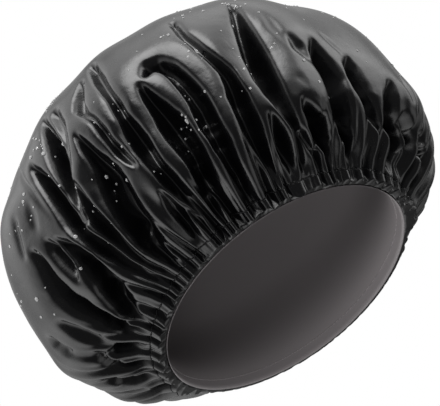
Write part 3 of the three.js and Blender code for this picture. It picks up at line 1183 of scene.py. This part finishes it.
class Collapse:
    """The crown's collapse onto the hem, and the hem that the soft pieces ride on."""

    JOINT = "crown_collapse"

    def __init__(self, sizes: CapSizes) -> None:
        """Works out what share of its height the crown keeps.

        Args:
            sizes: The cap's sizes.
        """
        joint = next(j for j in frame["joints"] if j["name"] == self.JOINT)
        self.anchor = (0.0, 0.0, sizes.stitch_height)
        self.keep = 1.0 + min(joint["range_m"]) / (sizes.height - sizes.stitch_height)

    def follow(self, piece: Piece) -> None:
        """Lets a piece ride on the hem, with a mesh of its own."""
        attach(piece, "hem")
        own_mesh(piece)


@dataclass
class GatheredSatin:
    """The gathered satin: the shell from the crown to the stitch line, and the casing below it."""

    sizes: CapSizes
    cloth: GatheredCloth
    thickness: float = 0.3 * MM
    crown_rows: int = 7
    tuck_rows: int = 3
    tuck_gap: float = 0.7 * MM
    tuck_share: float = 0.006

    def settle(self) -> None:
        """Lays the cloth, and keeps its rows and its flat cut."""
        cloth = self.cloth
        rows = cloth.settle()
        share = cloth.row_shares()
        crown = np.linspace(0.0, cloth.CROWN_SHARE, self.crown_rows + 1)[1:-1]
        self.stitch = cloth.stitch_row(share) + len(crown)
        self.rows = np.concatenate([cloth.crown_rows(rows[0], self.crown_rows), rows])
        self.stitch_ring = self.rows[self.stitch]
        angle = angles_round(rows.shape[1])
        far = np.concatenate([crown, share])[:, None] * cloth.outline.length
        self.flat = np.stack([far * np.cos(angle), far * np.sin(angle)], axis=2)

    def build_shell(self) -> Piece:
        """Makes the shell's mesh.

        Returns:
            The shell.
        """
        rows = self.rows[: self.stitch + 1]
        tip = np.array([0.0, 0.0, self.sizes.height])
        piece = grid_piece("satin_shell", rows, tip)
        flat_uv(piece, np.concatenate([self.flat[: self.stitch + 1].reshape(-1, 2), np.zeros((1, 2))]))
        return piece

    def build_casing(self) -> Piece:
        """Makes the casing's mesh, turned in under the elastic at its edge, and measures its flat cut.

        Returns:
            The casing.
        """
        rows = self.rows[self.stitch :]
        edge = rows[-1]
        unit = edge[:, :2] / np.hypot(edge[:, 0], edge[:, 1])[:, None]
        height = np.full((len(edge), 1), self.sizes.edge_height)
        inner = np.concatenate([unit * (self.sizes.opening_radius + self.tuck_gap), height], axis=1)
        step = np.linspace(0.0, 1.0, self.tuck_rows + 1)[1:, None, None]
        tuck = edge * (1.0 - step) + inner * step
        flat = np.concatenate([self.flat[self.stitch :], self.flat[-1] * (1.0 + self.tuck_share * step)])
        strip = np.concatenate([rows, tuck])
        piece = grid_piece("satin_casing", strip)
        flat_uv(piece, flat.reshape(-1, 2))
        around = np.linalg.norm(np.roll(strip, -1, axis=1) - strip, axis=2).sum(axis=1).mean()
        across = np.linalg.norm(np.diff(strip, axis=0), axis=2).sum(axis=0).mean()
        self.casing_cut = (float(around), float(across))
        return piece

    def dress(self, piece: Piece, node: str, slot: str) -> None:
        """Gives a piece of the satin its thickness and finish, and hides the solid it stands for.

        Args:
            piece: The piece.
            node: The solid it stands for.
            slot: The solid's material slot.
        """
        piece.data.materials.append(CoatedSatin().material(slot))
        thicken(piece, self.thickness, Side.INSIDE)
        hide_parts(node)

    def build(self, collapse: Collapse) -> list[Piece]:
        """Makes, dresses and declares both pieces.

        Args:
            collapse: Lets the shell ride on the hem.

        Returns:
            The shell and the casing.
        """
        self.settle()
        shell = self.build_shell()
        self.dress(shell, "outer_shell", "coated_satin")
        casing = self.build_casing()
        self.dress(casing, "hem_casing", "casing_satin")
        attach(casing, "hem")
        collapse.follow(shell)
        return [shell, casing]


@dataclass
class InnerFilm:
    """The grey film inside: the lining's smooth dome, and the facing from there to the hem's edge."""

    sizes: CapSizes
    columns: int = 240
    rows: int = 70
    facing_height: float = 10 * MM
    facing_cut: float = 14 * MM
    gap: float = 1.5 * MM
    thickness: float = 0.2 * MM

    # The lip's width in front and how much wider it is at the back, in millimetres, and its rows.
    LIP_FRONT = 0.3
    LIP_WIDER = 1.2
    LIP_SHARES = np.array([[0.3], [0.65], [1.0]])
    LIP_HEIGHTS = np.array([[0.3], [0.2], [0.2]]) * MM
    # Where a row lies close to the join, between the join's own row and the next.
    JOIN_WEIGHTS = (0.97, 0.03)

    def profile(self) -> Array:
        """The film's line from the crown down to the edge, upright at the hem.

        Returns:
            Points as rows of (radius, height).
        """
        sizes = self.sizes
        inset = sizes.fold_room + self.gap
        girth = sizes.girth_radius - inset
        rise = sizes.height - inset - sizes.widest_height
        turn = np.linspace(math.pi / 2, 0.0, self.rows // 2)
        upper = np.stack([girth * np.cos(turn), sizes.widest_height + rise * np.sin(turn)], axis=1)
        height = np.linspace(sizes.widest_height, sizes.edge_height, self.rows // 2 + 1)[1:]
        share = np.maximum(height - self.facing_height, 0.0) / (sizes.widest_height - self.facing_height)
        radius = sizes.opening_radius + (girth - sizes.opening_radius) * smooth_step(0.0, 1.0, share)
        return np.concatenate([upper[1:], np.stack([radius, height], axis=1)])

    def lip(self, angle: Array) -> Array:
        """The film's rolled lip under the hem, wide at the back and narrow in front.

        Args:
            angle: Angles round the cap.

        Returns:
            Points as rows, columns and coordinates.
        """
        roll = smooth_step(*FRONT_TO_BACK, np.sin(angle))
        reach = (self.LIP_FRONT + self.LIP_WIDER * roll) * MM
        return rings(self.sizes.opening_radius + self.LIP_SHARES * reach, self.LIP_HEIGHTS, angle)

    def meshes(self) -> tuple[Piece, Piece]:
        """Makes both meshes from one profile, each with a row near the join that keeps its shading even.

        Returns:
            The lining and the facing.
        """
        profile = self.profile()
        angle = angles_round(self.columns)
        surface = rings(profile[:, :1], profile[:, 1:], angle)
        split = int(np.argmin(np.abs(profile[:, 1] - self.facing_height)))
        tip = np.array([0.0, 0.0, profile[0, 1]])
        near, far = self.JOIN_WEIGHTS
        join = surface[split][None]
        above = near * join + far * surface[split - 1][None]
        below = near * join + far * surface[split + 1][None]
        strip = np.concatenate([join, below, surface[split + 1 :], self.lip(angle)])
        lining = grid_piece("film_lining", np.concatenate([surface[:split], above, join]), tip)
        facing = grid_piece("film_facing", strip)
        self.area = grid_area(surface[: split + 1])
        self.profile_length = float(np.linalg.norm(np.diff(profile, axis=0), axis=1).sum())
        at_stitch = int(np.argmin(np.abs(profile[:, 1] - self.sizes.stitch_height)))
        self.stitch_ring = surface[at_stitch]
        return lining, facing

    def build(self, collapse: Collapse) -> list[Piece]:
        """Makes, dresses and declares both pieces.

        Args:
            collapse: Lets the lining ride on the hem.

        Returns:
            The lining and the facing.
        """
        lining, facing = self.meshes()
        for piece, node in ((lining, "inner_lining"), (facing, "hem_facing")):
            piece.data.materials.append(LiningFilm().material(node + "_film"))
            thicken(piece, self.thickness, Side.OUTSIDE)
            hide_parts(node)
        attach(facing, "hem")
        collapse.follow(lining)
        return [lining, facing]


@dataclass
class StitchLine:
    """One thread of the hem's stitch line: short stitches that dip into the cloth at both ends."""

    node: str
    colour: str
    ring: Array
    side: Side
    count: int = 220
    thread: float = 0.5 * MM
    twist: float = 1.78 * MM
    sides: int = 6
    steps: int = 6

    # Where a stitch begins and ends in its own length, and how far its ends dip, in thread widths.
    SPAN = (0.08, 0.92)
    DIP = 0.35

    def points(self) -> Array:
        """Places along every stitch.

        Returns:
            Points as stitches, steps and coordinates.
        """
        columns = len(self.ring)
        share = np.linspace(*self.SPAN, self.steps)
        place = (np.arange(self.count)[:, None] + share[None, :]) * columns / self.count
        first = np.floor(place).astype(int)
        weight = (place - first)[:, :, None]
        along = self.ring[first % columns] * (1.0 - weight) + self.ring[(first + 1) % columns] * weight
        lift = self.side.value * self.thread * (np.sin(share * math.pi) - self.DIP)
        return along + unit_rows(along * [1.0, 1.0, 0.0]) * lift[None, :, None]

    def build(self) -> Piece:
        """Makes the stitches and puts them in the solid thread's place.

        Returns:
            The stitches.
        """
        points = self.points()
        way = unit_rows(np.gradient(points, axis=1))
        across = unit_rows(np.cross(way, [0.0, 0.0, 1.0]))
        upward = np.cross(across, way)
        turn = angles_round(self.sides)[:, None]
        circle = across[:, :, None, :] * np.cos(turn) + upward[:, :, None, :] * np.sin(turn)
        corners = (points[:, :, None, :] + self.thread / 2 * circle).reshape(-1, 3)
        faces = []
        for stitch in range(self.count):
            start = stitch * self.steps * self.sides
            faces += ring_faces(self.steps, self.sides, start)
            faces.append(tuple(range(start, start + self.sides)))
            faces.append(end_face(start + (self.steps - 1) * self.sides, self.sides))
        piece = mesh_piece(self.node + "_stitches", corners, faces)
        # The thread's finish paints a highlight along each twist's top.
        piece.data.materials.append(RibbedYarn(self.colour, self.twist).material(self.node + "_thread"))
        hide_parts(self.node)
        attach(piece, "hem")
        return piece


@dataclass
class HemElastic:
    """The elastic in the hem and the zigzag that joins its ends, which keep their solids."""

    colour: str = "#161617"
    rib: float = 4.44 * MM
    roughness: float = 0.85

    def dress(self) -> list[Piece]:
        """Gives both solids their finishes.

        Returns:
            The two solids.
        """
        # Both yarn finishes paint a highlight along each rib's top.
        finishes = {
            "elastic_band": RibbedYarn(self.colour, self.rib, self.roughness),
            "elastic_splice_stitch": RibbedYarn(THREAD_BLACK, StitchLine.twist),
        }
        for name, finish in finishes.items():
            materials = frame["nodes"][name].data.materials
            materials.clear()
            materials.append(finish.material(name + "_yarn"))
        return [frame["nodes"][name] for name in finishes]


@dataclass
class WaterBeads:
    """Drops of water standing on the satin, thickest towards the crown, many of them in clusters."""

    satin: GatheredSatin
    count: int = 700
    clusters: int = 36
    clustered: float = 0.45
    seed: int = 5
    rings: int = 4
    sides: int = 10
    flatness: float = 0.75

    # Shares of the way to the hem where drops set in and grow rare, and how rare.
    SET_IN = (0.05, 0.2)
    GROW_RARE = (0.74, 0.90)
    RARE = 0.96
    # A cluster's spread, and the rows kept free at the crown and the stitch line, in the satin's own grid.
    CLUSTER_ROWS = 3.0
    CLUSTER_COLUMNS = 5.0
    FREE_ABOVE = 2
    FREE_BELOW = 12
    # The drops' radii in millimetres: the middle one, their spread, the least and the most.
    RADIUS_MM = 0.7
    RADIUS_SPREAD = 0.35
    RADIUS_LIMITS_MM = (0.4, 1.6)
    # How far a drop's foot turns in under it, in radians, and a direction that no normal on the satin has.
    FOOT = -0.25
    SKEW = (0.3, 0.2, 0.93)

    def places(self) -> tuple[Array, Array]:
        """Draws where the drops stand.

        Returns:
            Places on the satin and its outward normals there.
        """
        rows = self.satin.rows
        around = np.roll(rows, -1, axis=1) - np.roll(rows, 1, axis=1)
        normal = np.cross(np.gradient(rows, axis=0), around)
        area = np.linalg.norm(normal, axis=2)
        share = np.linalg.norm(self.satin.flat, axis=2) / self.satin.cloth.outline.length
        rare = self.RARE * smooth_step(*self.GROW_RARE, share)
        weight = area * smooth_step(*self.SET_IN, share) * (1.0 - rare)
        random = np.random.default_rng(self.seed)
        drawn = random.choice(weight.size, self.count, p=(weight / weight.sum()).ravel())
        row, column = np.unravel_index(drawn, weight.shape)
        member = random.random(self.count) < self.clustered
        centre = random.integers(0, self.clusters, self.count)
        row_step = random.normal(0, self.CLUSTER_ROWS, self.count).astype(int)
        row = np.where(member, row[centre] + row_step, row)
        column_step = random.normal(0, self.CLUSTER_COLUMNS, self.count).astype(int)
        column = np.where(member, column[centre] + column_step, column) % rows.shape[1]
        row = np.clip(row, self.FREE_ABOVE, self.satin.stitch - self.FREE_BELOW)
        return rows[row, column], normal[row, column] / area[row, column][:, None]

    def build(self, collapse: Collapse) -> Piece:
        """Makes the drops, which follow the satin.

        Args:
            collapse: Lets the drops ride on the hem.

        Returns:
            The drops.
        """
        place, normal = self.places()
        random = np.random.default_rng(self.seed + 1)
        drawn = random.lognormal(math.log(self.RADIUS_MM), self.RADIUS_SPREAD, self.count)
        size = np.clip(drawn, *self.RADIUS_LIMITS_MM) * MM
        side = unit_rows(np.cross(normal, self.SKEW))
        other = np.cross(normal, side)
        turn = angles_round(self.sides)[:, None]
        lean = np.linspace(self.FOOT, math.pi / 2, self.rings + 1)[:-1][::-1, None, None]
        flat = side[:, None, None] * np.cos(turn) + other[:, None, None] * np.sin(turn)
        shape = np.cos(lean) * flat + self.flatness * np.sin(lean) * normal[:, None, None]
        drops = place[:, None, None] + size[:, None, None, None] * shape
        tips = place + self.flatness * size[:, None] * normal
        points = np.concatenate([drops.reshape(-1, 3), tips])
        each = self.rings * self.sides
        faces = []
        for drop in range(self.count):
            start = drop * each
            faces += ring_faces(self.rings, self.sides, start)
            faces += tip_faces(self.count * each + drop, start, self.sides)
            faces.append(end_face(start + each - self.sides, self.sides))
        piece = mesh_piece("water_beads", points, faces)
        # The drops' white share is a painted glint.
        piece.data.materials.append(ClearWater().material("water"))
        collapse.follow(piece)
        return piece


# Studio


@dataclass(frozen=True)
class PhotoView:
    """The photograph's view: from below the hem, with the crown leaning to the left."""

    distance: float = 1.66
    below_deg: float = 32.3
    lean_deg: float = 37.7
    metres_per_pixel: float = 0.6623 * MM
    hem_pixel: tuple[float, float] = (287.4, 289.9)
    sensor_mm: float = 36.0
    clip: tuple[float, float] = (0.05, 50.0)

    def axes(self) -> tuple[Vector, Vector, Vector]:
        """The image's right, up and towards-the-camera directions.

        Returns:
            Three directions of length 1.
        """
        below = math.radians(self.below_deg)
        lean = math.radians(self.lean_deg)
        back = Vector((0.0, -math.cos(below), -math.sin(below)))
        level = Vector((1.0, 0.0, 0.0))
        rise = back.cross(level)
        up = math.cos(lean) * rise + math.sin(lean) * level
        right = math.cos(lean) * level - math.sin(lean) * rise
        return right, up, back

    def offset(self, pixel: tuple[float, float]) -> Vector:
        """How far a pixel lies from the image's middle, at the hem's distance.

        Args:
            pixel: The pixel, from the image's upper left corner.

        Returns:
            The step in space.
        """
        right, up, _ = self.axes()
        across = (pixel[0] - IMAGE_SIZE[0] / 2) * self.metres_per_pixel
        upward = (IMAGE_SIZE[1] / 2 - pixel[1]) * self.metres_per_pixel
        return right * across + up * upward

    def aim(self) -> Vector:
        """The point that the image's middle shows, at the hem's distance."""
        return -self.offset(self.hem_pixel)

    def ray(self, pixel: tuple[float, float]) -> tuple[Vector, Vector]:
        """The straight line from the camera through a pixel of the photograph.

        Args:
            pixel: The pixel, from the image's upper left corner.

        Returns:
            Where the line starts and its direction.
        """
        away = self.axes()[2] * self.distance
        return self.aim() + away, (self.offset(pixel) - away).normalized()

    def pixel(self, point: Array) -> Array:
        """The pixel of the photograph that shows a point.

        Args:
            point: The point.

        Returns:
            The pixel, from the image's upper left corner.
        """
        right, up, back = self.axes()
        away = Vector(point) - self.aim()
        scale = self.distance / (self.distance - away.dot(back)) / self.metres_per_pixel
        across, upward = away.dot(right) * scale, away.dot(up) * scale
        return np.array([IMAGE_SIZE[0] / 2 + across, IMAGE_SIZE[1] / 2 - upward])

    def place_camera(self) -> None:
        """Makes the camera, and sets it as the scene's own."""
        right, up, back = self.axes()
        data = bpy.data.cameras.new("photo_camera")
        data.sensor_width = self.sensor_mm
        data.lens = data.sensor_width * self.distance / (IMAGE_SIZE[0] * self.metres_per_pixel)
        data.clip_start, data.clip_end = self.clip
        made = bpy.data.objects.new("photo_camera", data)
        turn = Matrix((right, up, back)).transposed().to_4x4()
        made.matrix_world = Matrix.Translation(self.aim() + back * self.distance) @ turn
        bpy.context.scene.collection.objects.link(made)
        bpy.context.scene.camera = made


@dataclass(frozen=True)
class SoftBox:
    """A soft studio light, placed in metres along the photograph's own directions from the cap's middle."""

    name: str
    place: tuple[float, float, float]
    size: float
    power: float


@dataclass(frozen=True)
class DomeGlow:
    """A soft bright part of the studio's dome, in the photograph's own directions."""

    name: str
    way: tuple[float, float, float]
    spread: tuple[float, float]
    strength: float


class Studio:
    """White background, pale floor, a soft dome, brightest at the upper left, and lights for the film."""

    BOXES = (
        SoftBox("opening_light", (-0.9, -0.6, 1.1), 0.6, 3.4),
        SoftBox("opening_fill", (-0.2, 0.15, 1.36), 0.5, 5.0),
        SoftBox("opening_depth", (0.05, -0.4, 1.3), 0.5, 4.0),
    )
    DOME = (
        DomeGlow("overhead", (0.0, 1.0, -0.15), (0.55, 0.97), 1.6),
        DomeGlow("upper_left", (-0.35, 0.9, 0.1), (0.90, 0.985), 5.4),
        DomeGlow("upper_right", (0.72, 0.72, -0.25), (0.84, 0.98), 1.8),
        DomeGlow("left_side", (-0.9, 0.2, -0.3), (0.70, 1.0), 1.5),
        DomeGlow("lower_left", (-0.8, -0.5, 0.3), (0.6, 0.98), 0.6),
        DomeGlow("right_side", (0.9, -0.1, 0.2), (0.80, 0.98), 0.8),
        DomeGlow("low", (-0.3, -0.9, 0.0), (0.4, 1.0), 1.6),
        DomeGlow("behind", (-0.4, 0.5, -1.0), (0.2, 0.9), 0.4),
    )
    DOME_BASE = 0.13
    CAP_MIDDLE = Vector((0.0, 0.0, 0.09))
    FLOOR_HEIGHT = -2.5
    FLOOR_HALF = 4.0

    def __init__(self, view: PhotoView) -> None:
        """Keeps the photograph's directions.

        Args:
            view: The photograph's view.
        """
        self.right, self.up, self.back = view.axes()

    def _along(self, way: tuple[float, float, float]) -> Vector:
        """A step along the photograph's own directions, in space."""
        return self.right * way[0] + self.up * way[1] + self.back * way[2]

    def light(self, box: SoftBox) -> None:
        """Adds one soft light that points at the cap and isn't mirrored in it.

        Args:
            box: The light.
        """
        data = bpy.data.lights.new(box.name, "AREA")
        data.shape = "RECTANGLE"
        data.size = data.size_y = box.size
        data.energy = box.power
        made = bpy.data.objects.new(box.name, data)
        away = self._along(box.place)
        out = away.normalized()
        across = (self.right - out * self.right.dot(out)).normalized()
        turn = Matrix((across, out.cross(across), out)).transposed().to_4x4()
        made.matrix_world = Matrix.Translation(self.CAP_MIDDLE + away) @ turn
        made.visible_camera = False
        made.visible_glossy = False
        bpy.context.scene.collection.objects.link(made)

    def glow(self, tree: Tree, glow: DomeGlow, direction: Socket, total: Socket) -> Socket:
        """Adds one bright part of the dome.

        Args:
            tree: The world's nodes.
            glow: The bright part.
            direction: The socket that gives the direction looked in.
            total: The socket with the strength so far.

        Returns:
            The socket with the strength and this part's.
        """
        facing = add_node(tree, "VectorMath", {"operation": "DOT_PRODUCT"}, {0: direction})
        facing.inputs[1].default_value = self._along(glow.way).normalized()
        low, high = glow.spread
        ramp = {"label": glow.name, "interpolation_type": "SMOOTHSTEP"}
        ramp |= {"From Min": low, "From Max": high, "To Max": glow.strength}
        part = add_node(tree, "MapRange", ramp, {"Value": facing.outputs["Value"]})
        return add_node(tree, "Math", {"operation": "ADD"}, {0: total, 1: part.outputs["Result"]}).outputs[0]

    def world(self) -> None:
        """White where the camera looks past the cap, and the soft dome for everything else."""
        world = bpy.data.worlds.new("studio")
        bpy.context.scene.world = world
        world.use_nodes = True
        tree = world.node_tree
        tree.nodes.clear()
        path = add_node(tree, "LightPath")
        white = add_node(tree, "Background", {"Color": (1, 1, 1, 1), "Strength": 1.0})
        total = add_node(tree, "Value").outputs[0]
        total.default_value = self.DOME_BASE
        place = add_node(tree, "TexCoord")
        for glow in self.DOME:
            total = self.glow(tree, glow, place.outputs["Generated"], total)
        dome = add_node(tree, "Background", {"Color": (1, 1, 1, 1)}, {"Strength": total})
        feeds = {0: path.outputs["Is Camera Ray"], 1: dome.outputs[0], 2: white.outputs[0]}
        mix = add_node(tree, "MixShader", links=feeds)
        add_node(tree, "OutputWorld", links={"Surface": mix.outputs[0]})

    def floor(self) -> None:
        """A plain pale floor, well below the cap, out of the photograph's view."""
        corners = np.array([[-1.0, -1.0, 0], [1.0, -1.0, 0], [1.0, 1.0, 0], [-1.0, 1.0, 0]]) * self.FLOOR_HALF
        corners[:, 2] = self.FLOOR_HEIGHT
        floor = mesh_piece("floor", corners, [(0, 1, 2, 3)])
        floor.data.materials.append(PalePaint().material("pale_floor"))
        floor.visible_glossy = False
        floor.visible_diffuse = False

    def build(self) -> None:
        """Sets the whole studio up."""
        self.world()
        self.floor()
        for box in self.BOXES:
            self.light(box)
        bpy.context.scene.view_settings.view_transform = "Standard"


def main() -> None:
    """Builds the view, the cap's pieces and the studio, and reports each piece."""
    logging.basicConfig(level=logging.INFO, format="%(name)s: %(message)s")
    sizes = CapSizes.from_frame()
    view = PhotoView()
    view.place_camera()
    outline = Meridian(sizes)
    folds = FoldField(sizes, outline, view, FOLD_SEED)
    collapse = Collapse(sizes)
    satin = GatheredSatin(sizes, GatheredCloth(sizes, outline, folds))
    film = InnerFilm(sizes)
    pieces = satin.build(collapse) + film.build(collapse)
    pieces.append(StitchLine("hem_needle_thread", THREAD_BLACK, satin.stitch_ring, Side.OUTSIDE).build())
    pieces.append(StitchLine("hem_bobbin_thread", LiningFilm.colour, film.stitch_ring, Side.INSIDE).build())
    pieces += HemElastic().dress()
    pieces.append(WaterBeads(satin).build(collapse))
    for piece in pieces:
        LOG.info("%s: %d points", piece.name, len(piece.data.vertices))
    Studio(view).build()


if __name__ == "__main__":
    main()
